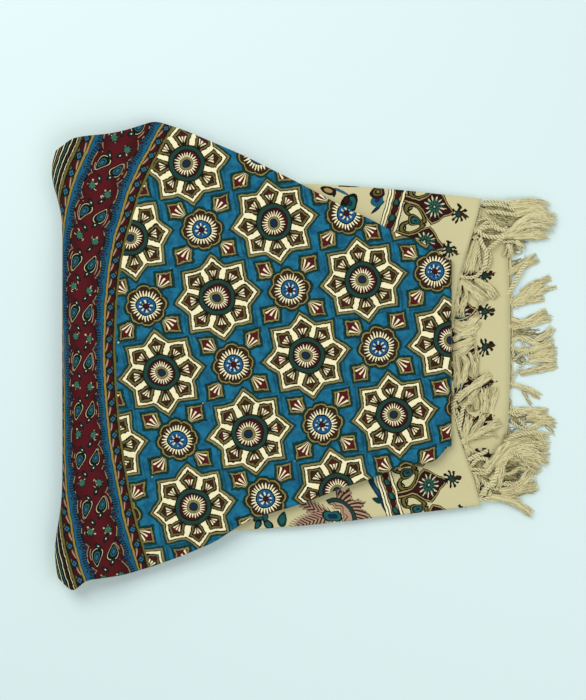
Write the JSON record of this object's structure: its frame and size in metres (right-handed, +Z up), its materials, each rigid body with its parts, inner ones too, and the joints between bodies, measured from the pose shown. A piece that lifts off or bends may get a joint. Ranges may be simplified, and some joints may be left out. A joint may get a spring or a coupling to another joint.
{
  "type": "folded qalamkar cloth",
  "caption": "Block-printed cotton cloth, folded flat in plies with its printed centre on top and the knotted fringes of both hems at one side.",
  "frame": {"origin": "under the middle of the folded cloth's box, on the surface that it lies on", "axes": "+X towards the hems and their fringes, +Y towards the far edge, +Z up out of the printed side of the top ply"},
  "size_m": [0.5564, 0.5186, 0.0295],
  "materials": {
    "printed_cotton": "matt plain-weave cotton, block printed in turquoise, madder red, ochre and black on cream",
    "cotton_yarn": "undyed twisted cotton yarn, matt"
  },
  "bodies": {
    "root": {"cloth": "printed_cotton", "fringe_upper": "cotton_yarn", "fringe_lower": "cotton_yarn"}
  },
  "joints": []
}
